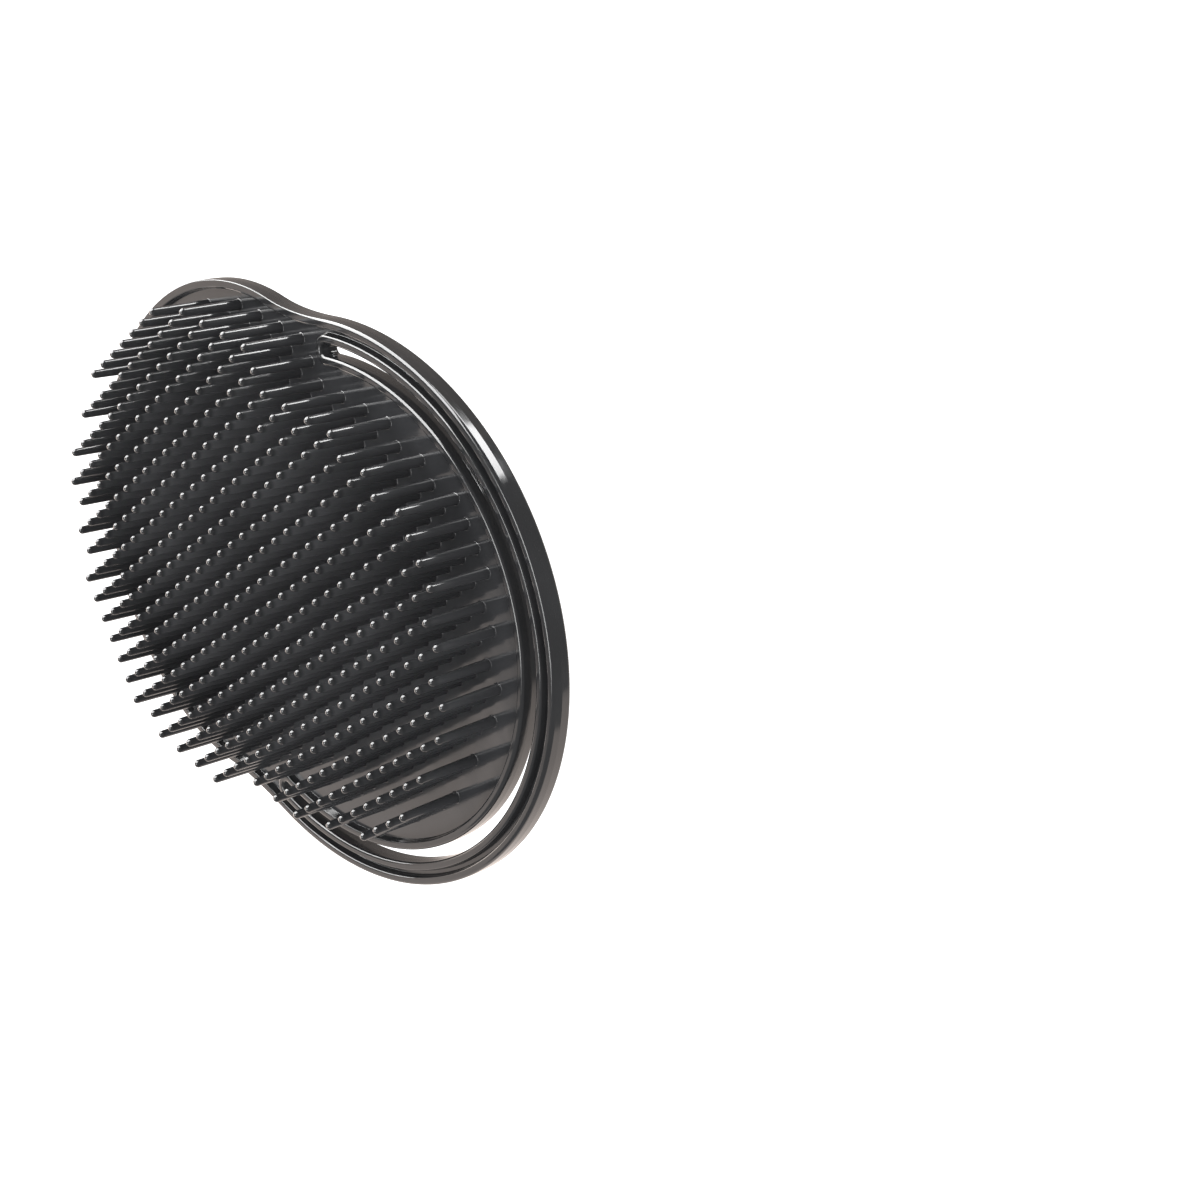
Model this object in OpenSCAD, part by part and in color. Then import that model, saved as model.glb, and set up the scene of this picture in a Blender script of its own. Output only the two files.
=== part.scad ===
// Palm scalp brush: a flat, nearly round plate with a raised rim, rows of stiff tapered pins
// and a slim loop round the toe end that swings away from the pins to hold the fingers.
// The brush lies on its flat back, pins up, loop end towards +X, origin in the middle of the
// footprint. All sizes are millimetres.

/* [Plate] */
// Distance between the middle of the heel curve and the middle of the toe and loop curves
centre_gap = 24.7; // [20:0.1:30]
// Reach of the heel curve from its middle
heel_reach = 37; // [33:0.1:42]
// How much further in the heel's sides stand than the loop's
heel_inset = 2; // [0.5:0.1:4]
// Reach of the plate's toe curve from its middle
toe_reach = 38.8; // [35:0.1:42]
// Half width of the plate's toe curve
toe_half = 35.8; // [32:0.1:38]
// Where the waist leaves the heel curve, towards the toe from the heel's middle
waist_heel = 2.7; // [1:0.1:6]
// Where the waist meets the loop's curve, towards the heel from the toe's middle
waist_loop = 10; // [8.5:0.1:12]
// Thickness of the smooth back layer
back_t = 1.2; // [0.8:0.1:1.6]
// Thickness of the floor layer that carries the pins
floor_t = 0.8; // [0.5:0.1:1.5]

/* [Rim] */
// Height of the bead's crest above the floor
bead_h = 1.1; // [0.6:0.1:2]
// Width of the bead along every edge
bead_w = 1.45; // [1.2:0.05:1.6]
// Rounding of the lower edge
edge_r = 0.6; // [0.2:0.1:0.9]

/* [Loop] */
// Gap between the toe and the loop at the sides
gap_side = 1.6; // [1.2:0.1:2.5]
// Gap between the toe and the loop at the end
gap_end = 2.1; // [1.4:0.1:4]
// Width of the loop's strap at the sides
strap_side = 3.5; // [3.4:0.1:4.5]
// Width of the loop's strap at the end
strap_end = 3.6; // [3.4:0.1:5.5]
// Where the gap starts, towards the heel from the toe's middle
slot_back = 8.3; // [7.5:0.1:8.4]
// Where the strap bends, towards the toe from the start of the gap
bend_ahead = 1.8; // [1.7:0.1:3]
// Running clearance round the strap's rounded root
bend_clear = 0.2; // [0.15:0.05:0.3]
// Where each side arm of the loop meets its bow, ahead of the toe's middle
arm_ahead = 18; // [10:0.5:26]

/* [Pins] */
// Half the spacing of the pins, which stand in a square grid set cornerwise to the length
pin_pitch = 2.5; // [2.3:0.05:3.2]
// Shift of the pin grid from the toe's middle
pin_shift = 0.1; // [-0.5:0.1:0.5]
// Height of a pin above the floor
pin_h = 10; // [6:0.5:14]
// Thickness of a pin at its root
pin_root = 1.65; // [1.1:0.05:1.8]
// Thickness of a pin below its rounded tip
pin_tip = 1; // [0.6:0.05:1.2]
// Height of the rounded tip
pin_round = 0.45; // [0.2:0.05:0.8]
// Bare margin from the heel's edge to the pins, along the length
heel_margin_end = 3.8; // [3.2:0.1:6]
// Bare margin from the heel's and the waist's edge to the pins, at the sides
heel_margin_side = 3.3; // [2.8:0.1:5]
// Bare margin from the toe's edge to the pins, along the length
toe_margin_end = 5.55; // [3.2:0.05:7]
// Bare margin from the toe's edge to the pins, at the sides
toe_margin_side = 4.4; // [2.8:0.1:6]
// Distance that the wide rows of the heel keep from the start of the gap
notch_margin = 2.85; // [2.6:0.05:4]

/* [Hidden] */
plastic = [0.2, 0.2, 0.21];
banks = 6;
pin_sides = 4;
sink = 0.2;
past = 1;

// Levels
floor_z = back_t + floor_t;
crest_z = floor_z + bead_h;
tip_z = floor_z + pin_h;

// The loop's two edges are ellipses round the toe's middle, wider than the toe by the gap
loop_in_reach = toe_reach + gap_end;
loop_in_half = toe_half + gap_side;
loop_out_reach = loop_in_reach + strap_end;
loop_out_half = loop_in_half + strap_side;

// The heel is a little narrower than the loop, so that it follows the loop's width
heel_half = loop_out_half - heel_inset;

// The origin is in the middle of the whole length
toe_x = (centre_gap + heel_reach - loop_out_reach) / 2;
heel_x = toe_x - centre_gap;
slot_x = toe_x - slot_back;
bend_x = slot_x + bend_ahead;
bend_z = crest_z / 2;
arm_x = toe_x + arm_ahead;
waist_x0 = heel_x + waist_heel;
waist_x1 = toe_x - waist_loop;

// Steps along each stretch of an edge
heel_steps = 46;
waist_steps = 6;
root_steps = 3;
arc_steps = 6;
toe_steps = 52;
loop_steps = 60;

// A half ellipse: its height over x, and its slope there
function oval_y(cx, a, b, x) = b * sqrt(max(0, 1 - pow((x - cx) / a, 2)));
function oval_slope(cx, a, b, x) = -b * b * (x - cx) / (a * a * oval_y(cx, a, b, x));
function oval(cx, a, b, t) = [cx + a * cos(t), b * sin(t)];

// Smooth curve between two points with a given slope at each
function ease(x, x0, y0, m0, x1, y1, m1) =
    let (h = x1 - x0, s = (x - x0) / h)
    (2 * pow(s, 3) - 3 * pow(s, 2) + 1) * y0
    + (pow(s, 3) - 2 * pow(s, 2) + s) * h * m0
    + (3 * pow(s, 2) - 2 * pow(s, 3)) * y1
    + (pow(s, 3) - pow(s, 2)) * h * m1;

function waist_y(x) =
    ease(
        x,
        waist_x0, oval_y(heel_x, heel_reach, heel_half, waist_x0),
        oval_slope(heel_x, heel_reach, heel_half, waist_x0),
        waist_x1, oval_y(toe_x, loop_out_reach, loop_out_half, waist_x1),
        oval_slope(toe_x, loop_out_reach, loop_out_half, waist_x1)
    );

function between(x0, x1, steps) = [for (i = [0:steps]) x0 + (x1 - x0) * i / steps];
function flip(points) = [for (i = [len(points) - 1:-1:0]) [points[i][0], -points[i][1]]];
function backward(list) = [for (i = [len(list) - 1:-1:0]) list[i]];

// Outer edge of plate and strap roots, from the +Y root round the heel to the -Y root
outer_side = concat(
    [for (x = between(bend_x + past, waist_x1, root_steps))
        [x, oval_y(toe_x, loop_out_reach, loop_out_half, x)]],
    [for (i = [1:waist_steps - 1])
        let (x = waist_x1 + (waist_x0 - waist_x1) * i / waist_steps) [x, waist_y(x)]]
);
heel_turn = acos(waist_heel / heel_reach);
outer_path = concat(
    outer_side,
    [for (t = between(heel_turn, 360 - heel_turn, heel_steps)) oval(heel_x, heel_reach, heel_half, t)],
    flip(outer_side)
);

// Edge of the gap, from the +Y root round its blunt start, round the toe and back
slot_in = oval_y(toe_x, toe_reach, toe_half, slot_x);
slot_out = oval_y(toe_x, loop_in_reach, loop_in_half, slot_x);
slot_r = (slot_out - slot_in) / 2;
toe_turn = acos(-slot_back / toe_reach);
slot_side = concat(
    [for (x = between(bend_x + past, slot_x, root_steps))
        [x, oval_y(toe_x, loop_in_reach, loop_in_half, x)]],
    [for (i = [1:arc_steps - 1])
        [slot_x, slot_in + slot_r] + slot_r * [cos(90 + 180 * i / arc_steps), sin(90 + 180 * i / arc_steps)]]
);
slot_path = concat(
    slot_side,
    [for (t = between(toe_turn, -toe_turn, toe_steps)) oval(toe_x, toe_reach, toe_half, t)],
    flip(slot_side)
);

// A path moved sideways: a positive distance is to the left of its direction
function left_of(path, i) =
    let (v = path[min(i + 1, len(path) - 1)] - path[max(i - 1, 0)])
    [-v[1], v[0]] / norm(v);
function beside(path, d) = [for (i = [0:len(path) - 1]) path[i] + d * left_of(path, i)];

// The plate's outline drawn in by a distance from every edge
function plate_outline(d) = concat(beside(outer_path, d), backward(beside(slot_path, -d)));

// Bead section, as distance in from the edge and height: upright outer wall, flat crest with
// rounded shoulders, steep inner wall
bead_top = [
    [0, crest_z - 0.35 * bead_h],
    [0.08 * bead_w, crest_z - 0.1 * bead_h],
    [0.26 * bead_w, crest_z],
    [0.72 * bead_w, crest_z],
    [0.88 * bead_w, crest_z - 0.2 * bead_h]
];
rim_section = concat([[0, back_t]], bead_top, [[bead_w, floor_z], [bead_w, back_t]]);

// Lower edge, as distance in from the edge and height
low_edge = [[edge_r, 0], [0.3 * edge_r, 0.3 * edge_r], [0, edge_r]];

// Solid between rings of points, all rings alike in number
module loft(rings) {
    n = len(rings);
    m = len(rings[0]);
    sides = [
        for (i = [0:n - 2], j = [0:m - 1])
        let (a = i * m + j, b = i * m + (j + 1) % m)
        each [[a, b, b + m], [a, b + m, a + m]]
    ];
    first = [for (j = [m - 1:-1:0]) j];
    last = [for (j = [0:m - 1]) (n - 1) * m + j];
    polyhedron([for (ring = rings) each ring], concat([first], sides, [last]));
}

// Section swept along an edge; way is 1 where the plastic lies left of the path, -1 where right
module along(path, way, section) {
    lines = [for (s = section) beside(path, way * s[0])];
    rings = [
        for (i = [0:len(path) - 1])
        [for (k = [0:len(section) - 1]) [lines[k][i][0], lines[k][i][1], section[k][1]]]
    ];
    loft(way > 0 ? rings : [for (ring = rings) backward(ring)]);
}

// Room that the strap's rounded root turns in, cut from the plate at both sides
module bend_room() {
    for (side = [-1, 1])
    translate([bend_x, side * (loop_in_half + strap_side / 2), bend_z]) {
        rotate([90, 0, 0])
        cylinder(r = bend_z + bend_clear, h = 2 * strap_side, center = true, $fn = 48);
        translate([0, -strap_side, -crest_z])
        cube([2 * past + crest_z, 2 * strap_side, 2 * crest_z]);
    }
}

// Smooth back layer with its lower edge rounded
module back_plate() {
    trim = backward(concat([[-edge_r, -edge_r], [edge_r, -edge_r]], low_edge, [[-edge_r, 2 * edge_r]]));
    color(plastic)
    difference() {
        linear_extrude(height = back_t)
        polygon(plate_outline(0));
        along(outer_path, 1, trim);
        along(slot_path, -1, trim);
        bend_room();
    }
}

// Rim bead round the heel, which runs on as the loop's outer bead
module heel_rim() {
    color(plastic)
    difference() {
        along(outer_path, 1, rim_section);
        bend_room();
    }
}

// Rim bead round the toe, which wraps the start of the gap and runs on as the loop's inner bead
module toe_rim() {
    color(plastic)
    difference() {
        along(slot_path, -1, rim_section);
        bend_room();
    }
}

// Floor layer inside the beads
module floor_layer() {
    translate([0, 0, back_t])
    linear_extrude(height = floor_t)
    polygon(plate_outline(bead_w));
}

// Pins stand where the grid falls inside the heel's and the toe's pin fields, clear of the waist
wide_end = slot_x - notch_margin;
function in_oval(x, y, a, b) = pow(x / a, 2) + pow(y / b, 2) <= 1;
function in_heel_field(x, y) =
    x < wide_end
    && (x < waist_x0 || abs(y) <= waist_y(x) - heel_margin_side)
    && in_oval(min(x - heel_x, 0), y, heel_reach - heel_margin_end, heel_half - heel_margin_side);
function in_toe_field(x, y) =
    x >= wide_end
    && in_oval(max(x - toe_x, 0), y, toe_reach - toe_margin_end, toe_half - toe_margin_side);

function column_x(i) = toe_x + pin_shift + i * pin_pitch;
column_first = ceil((heel_x - heel_reach - column_x(0)) / pin_pitch);
column_last = floor((toe_x + toe_reach - column_x(0)) / pin_pitch);
row_last = ceil(heel_half / pin_pitch);
function column_pins(i) = [
    for (j = [-row_last:row_last])
    if ((i + j + 2 * row_last) % 2 == 0)
    let (x = column_x(i), y = j * pin_pitch)
    if (in_heel_field(x, y) || in_toe_field(x, y))
    [x, y]
];
columns = [for (i = [column_first:column_last]) if (len(column_pins(i)) > 0) i];

// A pin is a tapered strand with a rounded tip, as rings of [height, half thickness]
pin_rings = [
    [floor_z - sink, pin_root / 2],
    [tip_z - pin_round, pin_tip / 2],
    [tip_z, pin_tip / 4]
];
module pins(places) {
    n = pin_sides;
    each_pin = n * len(pin_rings);
    points = [
        for (p = places, ring = pin_rings, k = [0:n - 1])
        [p[0] + ring[1] * cos(360 * k / n), p[1] + ring[1] * sin(360 * k / n), ring[0]]
    ];
    faces = [
        for (q = [0:len(places) - 1])
        let (base = q * each_pin, top = base + n * (len(pin_rings) - 1))
        each concat(
            [for (k = [1:n - 2]) [base, base + k, base + k + 1]],
            [for (i = [0:len(pin_rings) - 2], k = [0:n - 1])
                let (a = base + i * n + k, b = base + i * n + (k + 1) % n)
                each [[a, b + n, b], [a, a + n, b + n]]],
            [for (k = [1:n - 2]) [top, top + k + 1, top + k]]
        )
    ];
    polyhedron(points, faces);
}

// One bank of pins with the slice of floor that they are moulded to
module pin_bank(k) {
    count = len(columns);
    first = floor(k * count / banks);
    last = floor((k + 1) * count / banks) - 1;
    x0 = k == 0 ? heel_x - heel_reach : column_x(columns[first]) - pin_pitch / 2;
    x1 = k == banks - 1 ? toe_x + toe_reach : column_x(columns[last]) + pin_pitch / 2;
    color(plastic)
    union() {
        difference() {
            intersection() {
                floor_layer();
                translate([x0, -loop_out_half, 0])
                cube([x1 - x0, 2 * loop_out_half, floor_z + past]);
            }
            bend_room();
        }
        pins([for (c = [first:last]) each column_pins(columns[c])]);
    }
}

// The strap's whole section: outer bead, groove at floor level, inner bead, rounded lower edges.
// The first number counts from the outer edge, or from the inner edge where the third is 1.
strap_section = concat(
    [for (s = low_edge) [s[0], s[1], 0]],
    [for (s = bead_top) [s[0], s[1], 0]],
    [[bead_w, floor_z, 0], [bead_w, floor_z, 1]],
    [for (s = backward(bead_top)) [s[0], s[1], 1]],
    [for (s = backward(low_edge)) [s[0], s[1], 1]]
);
function strap_point(s, t) =
    let (
        p = s[2] == 0
            ? oval(toe_x, loop_out_reach - s[0], loop_out_half - s[0], t)
            : oval(toe_x, loop_in_reach + s[0], loop_in_half + s[0], t)
    )
    [p[0], p[1], s[1]];

// The strap between two angles, counted from the toe's end
module strap(t0, t1, steps) {
    loft([for (t = between(t0, t1, steps)) [for (s = strap_section) strap_point(s, t)]]);
}

// The strap ends in a rounded root that turns in the plate's hollow
strap_turn = acos((bend_x - toe_x - crest_z - past) / loop_in_reach);
module arm(side) {
    arm_turn = acos((arm_x - toe_x) / loop_out_reach) - 6;
    intersection() {
        if (side > 0)
            strap(arm_turn, strap_turn, loop_steps / 3);
        else
            strap(-strap_turn, -arm_turn, loop_steps / 3);
        union() {
            translate([bend_x, side * (loop_in_half + strap_side / 2), bend_z])
            rotate([90, 0, 0])
            cylinder(r = bend_z, h = 2 * strap_side, center = true, $fn = 48);
            translate([bend_x, -loop_out_half - past, -past])
            cube([arm_x - bend_x, 2 * (loop_out_half + past), crest_z + 2 * past]);
        }
    }
}

module loop_arm_left() {
    color(plastic) arm(1);
}

module loop_arm_right() {
    color(plastic) arm(-1);
}

// The loop's rounded end
module loop_bow() {
    bow_turn = acos((arm_x - toe_x) / loop_in_reach) + 6;
    color(plastic)
    intersection() {
        strap(-bow_turn, bow_turn, loop_steps / 2);
        translate([arm_x, -loop_out_half - past, -past])
        cube([loop_out_reach, 2 * (loop_out_half + past), crest_z + 2 * past]);
    }
}

back_plate();
heel_rim();
toe_rim();
pin_bank(0);  // pin_bank_1
pin_bank(1);  // pin_bank_2
pin_bank(2);  // pin_bank_3
pin_bank(3);  // pin_bank_4
pin_bank(4);  // pin_bank_5
pin_bank(5);  // pin_bank_6
loop_arm_left();
loop_arm_right();
loop_bow();
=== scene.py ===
# Palm scalp brush of glossy black plastic: a plate with a bead round every edge, rows of
# tapered pins, and a slim finger loop that is moulded on at both sides and bends away.
import math

import bmesh
import bpy
from mathutils import Matrix, Vector


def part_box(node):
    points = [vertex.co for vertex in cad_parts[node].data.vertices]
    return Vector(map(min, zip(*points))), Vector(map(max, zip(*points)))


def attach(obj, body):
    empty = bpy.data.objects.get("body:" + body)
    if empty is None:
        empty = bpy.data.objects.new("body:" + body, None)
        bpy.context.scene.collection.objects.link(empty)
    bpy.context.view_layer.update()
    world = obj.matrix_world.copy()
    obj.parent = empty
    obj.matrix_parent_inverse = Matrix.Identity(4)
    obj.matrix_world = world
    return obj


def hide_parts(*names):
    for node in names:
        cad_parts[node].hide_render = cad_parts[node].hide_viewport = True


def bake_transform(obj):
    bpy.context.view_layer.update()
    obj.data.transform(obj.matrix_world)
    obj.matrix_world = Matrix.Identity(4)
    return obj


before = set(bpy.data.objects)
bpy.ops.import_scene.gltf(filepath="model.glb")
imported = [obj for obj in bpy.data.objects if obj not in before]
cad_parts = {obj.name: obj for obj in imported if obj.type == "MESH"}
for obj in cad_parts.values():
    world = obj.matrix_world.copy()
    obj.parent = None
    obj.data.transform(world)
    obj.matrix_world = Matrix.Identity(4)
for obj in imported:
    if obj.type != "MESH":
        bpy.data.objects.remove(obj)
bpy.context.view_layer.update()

# Millimetres in, metres out
MM = 0.001

# Outline of the plate and the loop, in millimetres: ellipses round the heel's and the toe's middle
CENTRE_GAP = 24.7
HEEL_REACH = 37.0
HEEL_INSET = 2.0
TOE_REACH = 38.8
TOE_HALF = 35.8
WAIST_HEEL = 2.7
WAIST_LOOP = 10.0
GAP_SIDE = 1.6
GAP_END = 2.1
STRAP_SIDE = 3.5
STRAP_END = 3.6
SLOT_BACK = 8.3
SEAM_AHEAD = 1.0

# Section of the bead, in millimetres; the drafts are slopes of the outer wall below and above
# its parting line
BEAD_H = 1.1
BEAD_W = 1.45
BEAD_TOP_W = 1.28
OUTER_ROUND = 0.45
HEEL_ROUND = 0.14
ROUND_FADE = 9.0
INNER_ROUND = 0.28
FLOOR_FILLET = 0.12
EDGE_ROUND = 0.35
SHADE_BAND = 0.05
PARTING_Z = 1.6
LOWER_DRAFT = 0.02
UPPER_DRAFT = 0.06

# Pins, in millimetres: half the spacing of the cornerwise grid, and the pin's own sizes
PIN_PITCH = 2.5
PIN_SHIFT = 0.1
PIN_ROOT_R = 0.8
PIN_ROOT_DEPTH = 0.25
PIN_TIP_R = 0.62
COLLAR_R = 0.14
DOME_DEG = 75
HEEL_MARGIN_END = 3.8
HEEL_MARGIN_SIDE = 3.3
TOE_MARGIN_END = 5.55
TOE_MARGIN_SIDE = 4.4
NOTCH_MARGIN = 2.85
PIN_BANKS = 6

# Steps along the outlines and round a pin, and the angle from which an edge is sharp
ROOT_STEPS = 4
WAIST_STEPS = 14
HEEL_STEPS = 56
NOTCH_STEPS = 14
TOE_STEPS = 90
LOOP_STEPS = 190
PIN_SIDES = 16
SHARP_DEG = 38

LOOP_IN_REACH = TOE_REACH + GAP_END
LOOP_IN_HALF = TOE_HALF + GAP_SIDE
LOOP_OUT_REACH = LOOP_IN_REACH + STRAP_END
LOOP_OUT_HALF = LOOP_IN_HALF + STRAP_SIDE
HEEL_HALF = LOOP_OUT_HALF - HEEL_INSET

# Levels and places that the frame gives
CREST_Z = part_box("heel_rim")[1].z / MM
TIP_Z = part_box("pin_bank_3")[1].z / MM
FLOOR_Z = CREST_Z - BEAD_H
TOE_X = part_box("loop_bow")[1].x / MM - LOOP_OUT_REACH
HEEL_X = TOE_X - CENTRE_GAP
SLOT_X = TOE_X - SLOT_BACK
SEAM_X = SLOT_X + SEAM_AHEAD

# Plastic: black in the open. Greyer down between the pins and most so in the field's middle, which is
# painted light that lifts the shade there.
OPEN_BLACK = (0.037, 0.037, 0.038)
# Greyer blacks below are painted light that lifts the shade between the pins
EDGE_PAINTED_LIFT_BLACK = (0.056, 0.056, 0.058)
MIDDLE_PAINTED_LIFT_BLACK = (0.11, 0.11, 0.113)

# Heights in millimetres between which the painted lift of the shade between the pins fades to the
# open black: up to the crests, up to the tips, and down to the back
CREST_FADE = (FLOOR_Z + 0.1, CREST_Z - 0.2)
TIP_FADE = (TIP_Z - 1.4, TIP_Z - 0.3)
BACK_FADE = (FLOOR_Z - 0.4, FLOOR_Z - 0.1)

# Ellipse of the pin field, in millimetres, and the shares of it between which the painted lift of the
# shade changes
FIELD_X = (TOE_X + HEEL_X) / 2
FIELD_REACH = (CENTRE_GAP + TOE_REACH - TOE_MARGIN_END + HEEL_REACH - HEEL_MARGIN_END) / 2
FIELD_HALF = HEEL_HALF - HEEL_MARGIN_SIDE
MIDDLE_FADE = (0.55, 0.95)
OUTSIDE_FADE = (1.03, 1.1)

# Surface of the plastic: clouding of the black, unevenness of the polish and height of the
# ripples. The scales are noise cells in a metre, and a spread is the noise's range that is used.
CLOUD_SCALE = 90
CLOUD_SPREAD = (0.3, 0.7)
CLOUDING = (0.88, 1.12)
POLISH_SCALE = 260
POLISH_SPREAD = (0.35, 0.65)
ROUGHNESS = (0.07, 0.14)
RIPPLE_SCALE = 420
RIPPLE_STRENGTH = 0.04
RIPPLE_HEIGHT = 0.1

# Camera at the photograph's angle, its place in millimetres
CAMERA_AT = Vector((190.46, 124.18, 155.26)) * MM
CAMERA_RIGHT = Vector((0.6945, 0.147, -0.7044))
CAMERA_DOWN = Vector((0.4126, -0.8833, 0.2225))
FOCAL_PX = 1852.14
PHOTO_PX = 1200
SENSOR_MM = 36.0

# Axes of the photograph's view: towards the camera, to its right and up
BACK = CAMERA_RIGHT.cross(-CAMERA_DOWN).normalized()
RIGHT = CAMERA_RIGHT.normalized()
UP = BACK.cross(RIGHT).normalized()

# Light: the even fill for diffuse light, and what the gloss mirrors, in metres and as strengths.
# A spread is the range of the cosine to a direction over which the strength changes.
LAMP_DISTANCE = 0.8
FILL = 1.0
ROOM_GLOW = 0.25
TABLE_GLOW = 1.6
TABLE_EDGE = (-0.155, -0.135)
DIM_SIDE = (0.75 * UP - 0.66 * BACK).normalized()
DIM_GLOW = 0.42
DIM_SPREAD = (0.55, 0.8)
LEFT_PATCH = (-0.75 * RIGHT - 0.1 * UP - 0.65 * BACK).normalized()
PATCH_GLOW = 6.0
PATCH_SPREAD = (0.88, 0.99)
WHITE = (1, 1, 1)
COOL = (0.95, 0.97, 1.0)
SOFT_WHITE = (1, 0.98, 0.96)
WARM = (1, 0.88, 0.81)

# Pale floor, in metres, low enough for the loop to swing; its glow lifts it to the background
FLOOR_DROP = 0.05
FLOOR_HALF = 2.5
FLOOR_PALE = (0.85, 0.85, 0.84)
FLOOR_GLOW = 0.85


def oval(cx, a, b, t):
    return Vector((cx + a * math.cos(t), b * math.sin(t)))


def oval_y(cx, a, b, x):
    return b * math.sqrt(max(0.0, 1 - ((x - cx) / a) ** 2))


def oval_slope(cx, a, b, x):
    return -b * b * (x - cx) / (a * a * oval_y(cx, a, b, x))


def between(a, b, steps):
    return [a + (b - a) * i / steps for i in range(steps + 1)]


def ease(x, x0, y0, m0, x1, y1, m1):
    """Smooth curve between two points with a given slope at each."""
    h = x1 - x0
    s = (x - x0) / h
    return (
        (2 * s**3 - 3 * s**2 + 1) * y0
        + (s**3 - 2 * s**2 + s) * h * m0
        + (3 * s**2 - 2 * s**3) * y1
        + (s**3 - s**2) * h * m1
    )


def mirrored(points):
    return [Vector((p.x, -p.y)) for p in reversed(points)]


def outer_edge():
    """Outer edge of the plate, from the +Y strap root round the heel to the -Y root."""
    loop = (TOE_X, LOOP_OUT_REACH, LOOP_OUT_HALF)
    heel = (HEEL_X, HEEL_REACH, HEEL_HALF)
    x0 = HEEL_X + WAIST_HEEL
    x1 = TOE_X - WAIST_LOOP
    heel_end = (x0, oval_y(*heel, x0), oval_slope(*heel, x0))
    loop_end = (x1, oval_y(*loop, x1), oval_slope(*loop, x1))
    half = [Vector((x, oval_y(*loop, x))) for x in between(SEAM_X, x1, ROOT_STEPS)]
    half += [Vector((x, ease(x, *heel_end, *loop_end))) for x in between(x1, x0, WAIST_STEPS)[1:-1]]
    turn = math.acos(WAIST_HEEL / HEEL_REACH)
    half += [oval(*heel, t) for t in between(turn, math.pi, HEEL_STEPS)]
    return half + mirrored(half[:-1])


def gap_edge():
    """Edge of the gap, from the +Y strap root round its blunt start and round the toe."""
    loop = (TOE_X, LOOP_IN_REACH, LOOP_IN_HALF)
    toe = (TOE_X, TOE_REACH, TOE_HALF)
    inner = oval_y(*toe, SLOT_X)
    outer = oval_y(*loop, SLOT_X)
    lean = math.atan((oval_slope(*toe, SLOT_X) + oval_slope(*loop, SLOT_X)) / 2)
    radius = (outer - inner) / 2 * math.cos(lean)
    middle = Vector((SLOT_X, (inner + outer) / 2))
    rearward = Vector((-math.cos(lean), -math.sin(lean)))
    across = Vector((-math.sin(lean), math.cos(lean)))
    start = middle + radius * across
    half = [Vector((x, oval_y(*loop, x))) for x in between(SEAM_X, start.x, ROOT_STEPS)]
    for t in between(0, math.pi, NOTCH_STEPS)[1:]:
        half.append(middle + radius * (math.cos(t) * across + math.sin(t) * rearward))
    turn = math.acos((half[-1].x - TOE_X) / TOE_REACH)
    half += [oval(*toe, t) for t in between(turn, 0, TOE_STEPS)[1:]]
    return half + mirrored(half[:-1])


def arc(cx, cz, r, start, end, steps):
    """Points of a round corner, the angles in degrees."""
    return [
        (cx + r * math.cos(math.radians(t)), cz + r * math.sin(math.radians(t)))
        for t in between(start, end, steps)
    ]


def bead_section(outer_round):
    """Section of an edge, as distance in from it and height, from the flat back to the floor."""
    edge_in = EDGE_ROUND + LOWER_DRAFT * (PARTING_Z - EDGE_ROUND)
    shoulder_in = outer_round + UPPER_DRAFT * (CREST_Z - outer_round - PARTING_Z)
    lower = [(edge_in + SHADE_BAND, 0.0)] + arc(edge_in, EDGE_ROUND, EDGE_ROUND, 270, 180, 5)
    wall_low = EDGE_ROUND + SHADE_BAND
    wall_high = CREST_Z - outer_round - SHADE_BAND
    wall = [wall_low, PARTING_Z - SHADE_BAND, PARTING_Z, PARTING_Z + SHADE_BAND, wall_high]
    parting = [(max(LOWER_DRAFT * (PARTING_Z - z), UPPER_DRAFT * (z - PARTING_Z)), z) for z in wall]
    shoulder = arc(shoulder_in, CREST_Z - outer_round, outer_round, 180, 90, 6)
    top = [(shoulder_in + SHADE_BAND, CREST_Z), (BEAD_TOP_W - INNER_ROUND - SHADE_BAND, CREST_Z)]
    inner = arc(BEAD_TOP_W - INNER_ROUND, CREST_Z - INNER_ROUND, INNER_ROUND, 90, 10, 5)
    foot = arc(BEAD_W + FLOOR_FILLET, FLOOR_Z + FLOOR_FILLET, FLOOR_FILLET, 190, 270, 3)
    floor_start = (BEAD_W + FLOOR_FILLET + SHADE_BAND, FLOOR_Z)
    return lower + parting + shoulder + top + inner + foot + [floor_start]


def outer_round_at(x):
    """Radius of the outer shoulder: crisp round the heel and rounder towards the loop's roots."""
    share = min(1.0, max(0.0, (SEAM_X - x) / ROUND_FADE))
    return OUTER_ROUND + (HEEL_ROUND - OUTER_ROUND) * share**2 * (3 - 2 * share)


def strap_oval(s, inner):
    """Half axes of the loop's ellipse at a distance in from its outer or inner edge."""
    if inner:
        return LOOP_IN_REACH + s, LOOP_IN_HALF + s
    return LOOP_OUT_REACH - s, LOOP_OUT_HALF - s


def seam_point(s, inner, side):
    a, b = strap_oval(s, inner)
    return Vector((SEAM_X, side * oval_y(TOE_X, a, b, SEAM_X)))


def swept(path, way, inner):
    """Rings of the bead's section along an edge; the first and last lie in the seam's plane."""
    rings = []
    last = len(path) - 1
    for i, p in enumerate(path):
        along = path[min(i + 1, last)] - path[max(i - 1, 0)]
        left = Vector((-along.y, along.x)).normalized()
        ring = []
        for s, z in bead_section(OUTER_ROUND if inner else outer_round_at(p.x)):
            q = p + way * s * left
            if i in (0, last):
                q = seam_point(s, inner, 1 if i == 0 else -1)
            ring.append((q.x, q.y, z))
        rings.append(ring)
    return rings


def add_rings(bm, rings):
    return [[bm.verts.new(Vector(p) * MM) for p in ring] for ring in rings]


def join_rings(bm, rings, closed):
    """Faces between rings of vertices that follow each other."""
    count = len(rings[0])
    for a, b in zip(rings, rings[1:]):
        for k in range(count if closed else count - 1):
            bm.faces.new((a[k], a[(k + 1) % count], b[(k + 1) % count], b[k]))


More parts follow.
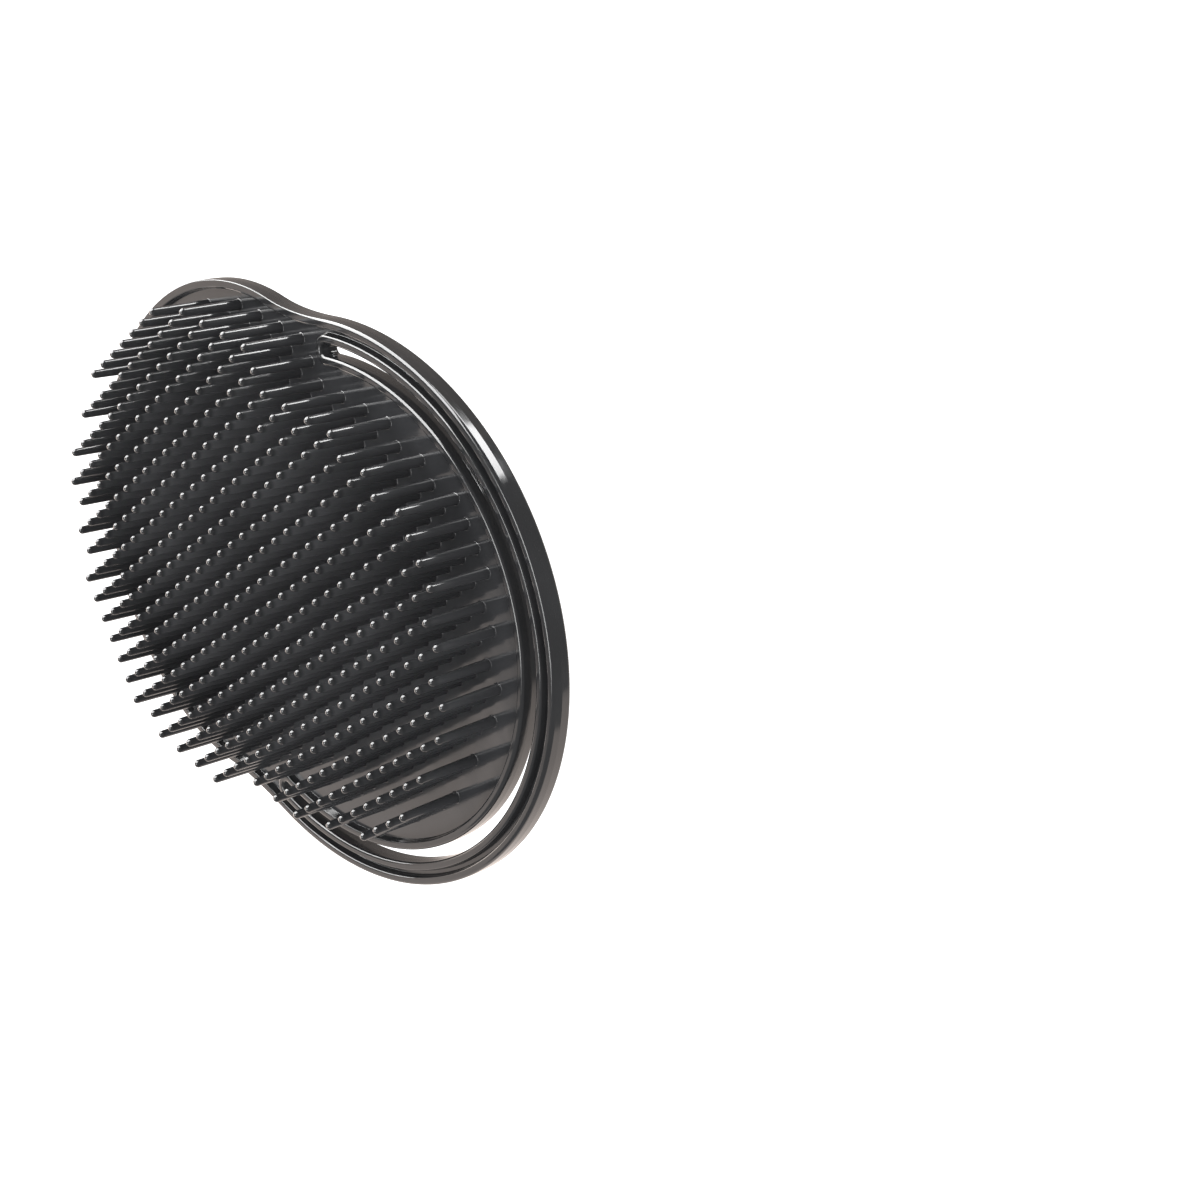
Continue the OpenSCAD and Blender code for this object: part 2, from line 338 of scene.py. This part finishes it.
def finished(bm, name, material):
    """The mesh as an object, smooth but for its sharp edges."""
    bmesh.ops.recalc_face_normals(bm, faces=bm.faces)
    for face in bm.faces:
        face.smooth = True
    for edge in bm.edges:
        if len(edge.link_faces) == 2 and edge.calc_face_angle(0) > math.radians(SHARP_DEG):
            edge.smooth = False
    mesh = bpy.data.meshes.new(name)
    bm.to_mesh(mesh)
    bm.free()
    mesh.materials.append(material)
    obj = bpy.data.objects.new(name, mesh)
    bpy.context.scene.collection.objects.link(obj)
    return obj


def make_plate(material):
    """Plate with its beads, the floor between them, and the strap's two roots cut square."""
    bm = bmesh.new()
    outer = add_rings(bm, swept(outer_edge(), 1, False))
    gap = add_rings(bm, swept(gap_edge(), -1, True))
    join_rings(bm, outer, False)
    join_rings(bm, gap, False)
    for k in (0, -1):
        bm.faces.new([ring[k] for ring in outer] + [ring[k] for ring in reversed(gap)])
    for end in (0, -1):
        bm.faces.new(outer[end] + list(reversed(gap[end])))
    return finished(bm, "plate", material)


def make_loop(material):
    """The finger loop: two beads with a groove between them, round the toe from seam to seam."""
    bm = bmesh.new()
    section = bead_section(OUTER_ROUND)
    lines = [(s, z, False) for s, z in section] + [(s, z, True) for s, z in reversed(section)]
    rings = []
    for i in range(LOOP_STEPS + 1):
        ring = []
        for s, z, inner in lines:
            a, b = strap_oval(s, inner)
            turn = math.acos((SEAM_X - TOE_X) / a)
            p = oval(TOE_X, a, b, turn * (1 - 2 * i / LOOP_STEPS))
            ring.append((p.x, p.y, z))
        rings.append(ring)
    verts = add_rings(bm, rings)
    join_rings(bm, verts, True)
    bm.faces.new(verts[0])
    bm.faces.new(verts[-1])
    return finished(bm, "finger_loop", material)


def in_oval(x, y, a, b):
    return (x / a) ** 2 + (y / b) ** 2 <= 1


def has_pin(x, y):
    """True where the grid falls in the heel's or the toe's pin field."""
    if x < SLOT_X - NOTCH_MARGIN:
        reach = HEEL_REACH - HEEL_MARGIN_END
        return in_oval(min(x - HEEL_X, 0), y, reach, HEEL_HALF - HEEL_MARGIN_SIDE)
    return in_oval(max(x - TOE_X, 0), y, TOE_REACH - TOE_MARGIN_END, TOE_HALF - TOE_MARGIN_SIDE)


def pin_columns():
    """Places of the pins, one list for each column across the brush."""
    span = math.ceil((HEEL_REACH + CENTRE_GAP + TOE_REACH) / PIN_PITCH)
    rows = math.ceil(HEEL_HALF / PIN_PITCH)
    columns = []
    for i in range(-span, span + 1):
        x = TOE_X + PIN_SHIFT + i * PIN_PITCH
        ys = [j * PIN_PITCH for j in range(-rows, rows + 1) if (i + j) % 2 == 0]
        places = [(x, y) for y in ys if has_pin(x, y)]
        if places:
            columns.append(places)
    return columns


def pin_profile():
    """Height and radius from below the floor, over the root's fillet, to the domed tip."""
    root = [(FLOOR_Z - PIN_ROOT_DEPTH, PIN_ROOT_R + COLLAR_R)]
    fillet = [
        (FLOOR_Z + COLLAR_R * (1 - math.sin(math.radians(t))),
         PIN_ROOT_R + COLLAR_R * (1 - math.cos(math.radians(t))))
        for t in between(90, 0, 4)
    ]
    dome_z = TIP_Z - PIN_TIP_R
    dome = [
        (dome_z + PIN_TIP_R * math.sin(math.radians(t)), PIN_TIP_R * math.cos(math.radians(t)))
        for t in between(0, DOME_DEG, 5)
    ]
    return root + fillet + dome


def make_pins(name, places, material):
    """One bank of pins, each a closed turned shape that stands in the plate."""
    bm = bmesh.new()
    profile = pin_profile()
    angles = [2 * math.pi * k / PIN_SIDES for k in range(PIN_SIDES)]
    for x, y in places:
        turned = [[(x + r * math.cos(a), y + r * math.sin(a), z) for a in angles] for z, r in profile]
        rings = add_rings(bm, turned)
        join_rings(bm, rings, True)
        bm.faces.new(rings[0])
        top = bm.verts.new(Vector((x, y, TIP_Z)) * MM)
        for k in range(PIN_SIDES):
            bm.faces.new((rings[-1][k], rings[-1][(k + 1) % PIN_SIDES], top))
    return finished(bm, name, material)


def ramp(tree, value, low, high, start, end):
    """Value that goes smoothly from start to end as another one goes from low to high."""
    node = tree.nodes.new("ShaderNodeMapRange")
    node.interpolation_type = "SMOOTHSTEP"
    node.inputs["From Min"].default_value = low
    node.inputs["From Max"].default_value = high
    node.inputs["To Min"].default_value = start
    node.inputs["To Max"].default_value = end
    tree.links.new(value, node.inputs["Value"])
    return node.outputs["Result"]


def larger(tree, first, second):
    node = tree.nodes.new("ShaderNodeMath")
    node.operation = "MAXIMUM"
    tree.links.new(first, node.inputs[0])
    tree.links.new(second, node.inputs[1])
    return node.outputs["Value"]


def mix_shaders(tree, factor, first, second):
    node = tree.nodes.new("ShaderNodeMixShader")
    tree.links.new(factor, node.inputs["Fac"])
    tree.links.new(first, node.inputs[1])
    tree.links.new(second, node.inputs[2])
    return node.outputs["Shader"]


def mix_colors(tree, factor, first, second):
    """Mix of a colour, or a colour socket, and a second colour."""
    node = tree.nodes.new("ShaderNodeMix")
    node.data_type = "RGBA"
    tree.links.new(factor, node.inputs["Factor"])
    node.inputs["B"].default_value = (*second, 1)
    if isinstance(first, tuple):
        node.inputs["A"].default_value = (*first, 1)
    else:
        tree.links.new(first, node.inputs["A"])
    return node.outputs["Result"]


def noise(tree, place, scale, detail):
    node = tree.nodes.new("ShaderNodeTexNoise")
    node.inputs["Scale"].default_value = scale
    node.inputs["Detail"].default_value = detail
    tree.links.new(place, node.inputs["Vector"])
    return node.outputs["Fac"]


def field_distance(tree, place):
    """Distance from the pin field's middle, 1 on the ellipse round the field."""
    reach = tree.nodes.new("ShaderNodeMapping")
    reach.vector_type = "TEXTURE"
    reach.inputs["Location"].default_value = (FIELD_X * MM, 0, 0)
    reach.inputs["Scale"].default_value = (FIELD_REACH * MM, FIELD_HALF * MM, 1)
    tree.links.new(place, reach.inputs["Vector"])
    across = tree.nodes.new("ShaderNodeVectorMath")
    across.operation = "LENGTH"
    tree.links.new(reach.outputs["Vector"], across.inputs[0])
    return across.outputs["Value"]


def black_with_painted_lift(tree, place, open_fade):
    """Black on the crests or tips, the outside and the back; greyer down between the pins and most in
    the field's middle, painted light that lifts the shade there.
    """
    across = field_distance(tree, place)
    split = tree.nodes.new("ShaderNodeSeparateXYZ")
    tree.links.new(place, split.inputs["Vector"])
    height = split.outputs["Z"]
    # Painted light: a greyer black down between the pins, greyest in the field's middle, that lifts
    # the shade there
    painted_lift = mix_colors(tree, ramp(tree, across, *MIDDLE_FADE, 0, 1), MIDDLE_PAINTED_LIFT_BLACK, EDGE_PAINTED_LIFT_BLACK)
    crest = ramp(tree, height, open_fade[0] * MM, open_fade[1] * MM, 0, 1)
    behind = ramp(tree, height, BACK_FADE[0] * MM, BACK_FADE[1] * MM, 1, 0)
    outside = ramp(tree, across, *OUTSIDE_FADE, 0, 1)
    return mix_colors(tree, larger(tree, larger(tree, crest, behind), outside), painted_lift, OPEN_BLACK)


def gloss_plastic(name, open_fade):
    """Moulded glossy plastic with a faint clouding, uneven polish and soft ripples, and a painted
    lift of the shade down between the pins.
    """
    material = bpy.data.materials.new(name)
    material.use_nodes = True
    tree = material.node_tree
    shader = tree.nodes["Principled BSDF"]
    place = tree.nodes.new("ShaderNodeTexCoord").outputs["Object"]

    cloud = tree.nodes.new("ShaderNodeHueSaturation")
    clouding = ramp(tree, noise(tree, place, CLOUD_SCALE, detail=3), *CLOUD_SPREAD, *CLOUDING)
    tree.links.new(clouding, cloud.inputs["Value"])
    tree.links.new(black_with_painted_lift(tree, place, open_fade), cloud.inputs["Color"])
    tree.links.new(cloud.outputs["Color"], shader.inputs["Base Color"])

    polish = ramp(tree, noise(tree, place, POLISH_SCALE, detail=5), *POLISH_SPREAD, *ROUGHNESS)
    tree.links.new(polish, shader.inputs["Roughness"])

    ripple = tree.nodes.new("ShaderNodeBump")
    ripple.inputs["Strength"].default_value = RIPPLE_STRENGTH
    ripple.inputs["Distance"].default_value = RIPPLE_HEIGHT * MM
    tree.links.new(noise(tree, place, RIPPLE_SCALE, detail=2), ripple.inputs["Height"])
    tree.links.new(ripple.outputs["Normal"], shader.inputs["Normal"])
    return material


def make_camera():
    """Camera at the photograph's angle; the brush lies in the frame as the photograph shows it."""
    data = bpy.data.cameras.new("camera")
    data.sensor_width = SENSOR_MM
    data.lens = FOCAL_PX / PHOTO_PX * SENSOR_MM
    data.clip_start = 0.005
    data.clip_end = 20
    camera = bpy.data.objects.new("camera", data)
    turned = Matrix((RIGHT, UP, BACK)).transposed().to_4x4()
    camera.matrix_world = Matrix.Translation(CAMERA_AT) @ turned
    bpy.context.scene.collection.objects.link(camera)
    bpy.context.scene.camera = camera


def softbox(name, toward, width, height, radiance):
    """Area lamp that faces the brush and that only the gloss mirrors; its width lies along the
    photograph."""
    data = bpy.data.lights.new(name, "AREA")
    data.shape = "RECTANGLE"
    data.size = width
    data.size_y = height
    data.energy = radiance * math.pi * width * height
    lamp = bpy.data.objects.new(name, data)
    facing = toward.normalized()
    side = UP.cross(facing).normalized()
    rise = facing.cross(side)
    turned = Matrix((side, rise, facing)).transposed().to_4x4()
    lamp.matrix_world = Matrix.Translation(facing * LAMP_DISTANCE) @ turned
    lamp.visible_camera = False
    lamp.visible_diffuse = False
    bpy.context.scene.collection.objects.link(lamp)


def sky(tree, color, strength):
    """Background of one colour; the strength is a number or a socket."""
    node = tree.nodes.new("ShaderNodeBackground")
    node.inputs["Color"].default_value = (*color, 1)
    if isinstance(strength, float):
        node.inputs["Strength"].default_value = strength
    else:
        tree.links.new(strength, node.inputs["Strength"])
    return node.outputs["Background"]


def turned_to(tree, direction, toward, spread, start, end):
    """Value that goes smoothly from start to end as the direction turns towards a vector."""
    dot = tree.nodes.new("ShaderNodeVectorMath")
    dot.operation = "DOT_PRODUCT"
    dot.inputs[1].default_value = toward
    tree.links.new(direction, dot.inputs[0])
    return ramp(tree, dot.outputs["Value"], *spread, start, end)


def mirrored_surroundings(tree):
    """What the gloss mirrors: a white table behind the brush that is dim beyond its upper side
    and has a bright patch at its left, and a dim room round the camera."""
    direction = tree.nodes.new("ShaderNodeTexCoord").outputs["Generated"]
    open_table = turned_to(tree, direction, DIM_SIDE, DIM_SPREAD, TABLE_GLOW, DIM_GLOW)
    patch = turned_to(tree, direction, LEFT_PATCH, PATCH_SPREAD, 0, PATCH_GLOW)
    table = sky(tree, WARM, larger(tree, open_table, patch))
    room = sky(tree, SOFT_WHITE, ROOM_GLOW)
    return mix_shaders(tree, turned_to(tree, direction, BACK, TABLE_EDGE, 0, 1), table, room)


def make_world():
    """World that is white where rays see the background, with an even fill for diffuse light."""
    world = bpy.data.worlds.new("world")
    bpy.context.scene.world = world
    world.use_nodes = True
    tree = world.node_tree
    rays = tree.nodes.new("ShaderNodeLightPath").outputs
    fill = sky(tree, COOL, FILL)
    lit = mix_shaders(tree, rays["Is Glossy Ray"], fill, mirrored_surroundings(tree))
    seen = larger(tree, rays["Is Camera Ray"], rays["Is Transmission Ray"])
    shown = mix_shaders(tree, seen, lit, sky(tree, WHITE, 1.0))
    tree.links.new(shown, tree.nodes["World Output"].inputs["Surface"])


def floor_material():
    """Pale matt floor that camera rays see as bright as the background; it is clear from below
    and to what the gloss mirrors."""
    material = bpy.data.materials.new("floor")
    material.use_nodes = True
    tree = material.node_tree
    surface = tree.nodes["Principled BSDF"]
    surface.inputs["Base Color"].default_value = (*FLOOR_PALE, 1)
    surface.inputs["Roughness"].default_value = 0.9
    surface.inputs["Specular IOR Level"].default_value = 0.1
    white = tree.nodes.new("ShaderNodeEmission")
    white.inputs["Strength"].default_value = FLOOR_GLOW
    added = tree.nodes.new("ShaderNodeAddShader")
    tree.links.new(surface.outputs["BSDF"], added.inputs[0])
    tree.links.new(white.outputs["Emission"], added.inputs[1])
    rays = tree.nodes.new("ShaderNodeLightPath").outputs
    pale = mix_shaders(tree, rays["Is Camera Ray"], surface.outputs["BSDF"], added.outputs["Shader"])
    clear = tree.nodes.new("ShaderNodeBsdfTransparent").outputs["BSDF"]
    below = tree.nodes.new("ShaderNodeNewGeometry").outputs["Backfacing"]
    shown = mix_shaders(tree, larger(tree, below, rays["Is Glossy Ray"]), pale, clear)
    tree.links.new(shown, tree.nodes["Material Output"].inputs["Surface"])
    return material


def make_floor():
    mesh = bpy.data.meshes.new("floor")
    corners = [(-1, -1), (1, -1), (1, 1), (-1, 1)]
    places = [(x * FLOOR_HALF, y * FLOOR_HALF, -FLOOR_DROP) for x, y in corners]
    mesh.from_pydata(places, [], [(0, 1, 2, 3)])
    mesh.materials.append(floor_material())
    floor = bpy.data.objects.new("floor", mesh)
    bpy.context.scene.collection.objects.link(floor)
    return floor


black = gloss_plastic("black_plastic", CREST_FADE)
pin_black = gloss_plastic("pin_plastic", TIP_FADE)

plate = make_plate(black)
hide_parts("back_plate", "heel_rim", "toe_rim")
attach(plate, "plate")

finger_loop = make_loop(black)
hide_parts("loop_arm_left", "loop_arm_right", "loop_bow")
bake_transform(finger_loop)

columns = pin_columns()
for bank in range(PIN_BANKS):
    first = bank * len(columns) // PIN_BANKS
    last = (bank + 1) * len(columns) // PIN_BANKS
    places = [place for column in columns[first:last] for place in column]
    pins = make_pins(f"pins_{bank + 1}", places, pin_black)
    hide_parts(f"pin_bank_{bank + 1}")
    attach(pins, "plate")

make_camera()
softbox("key_box", -0.65 * RIGHT + 0.74 * UP + 0.19 * BACK, width=1.1, height=1.0, radiance=16)
softbox("top_box", 0.45 * RIGHT + 0.88 * UP + 0.08 * BACK, width=0.16, height=0.5, radiance=18)
softbox("left_box", -0.8 * RIGHT - 0.27 * UP + 0.52 * BACK, width=0.4, height=0.4, radiance=9)
make_world()
floor = make_floor()

bpy.context.scene.view_settings.view_transform = "Standard"
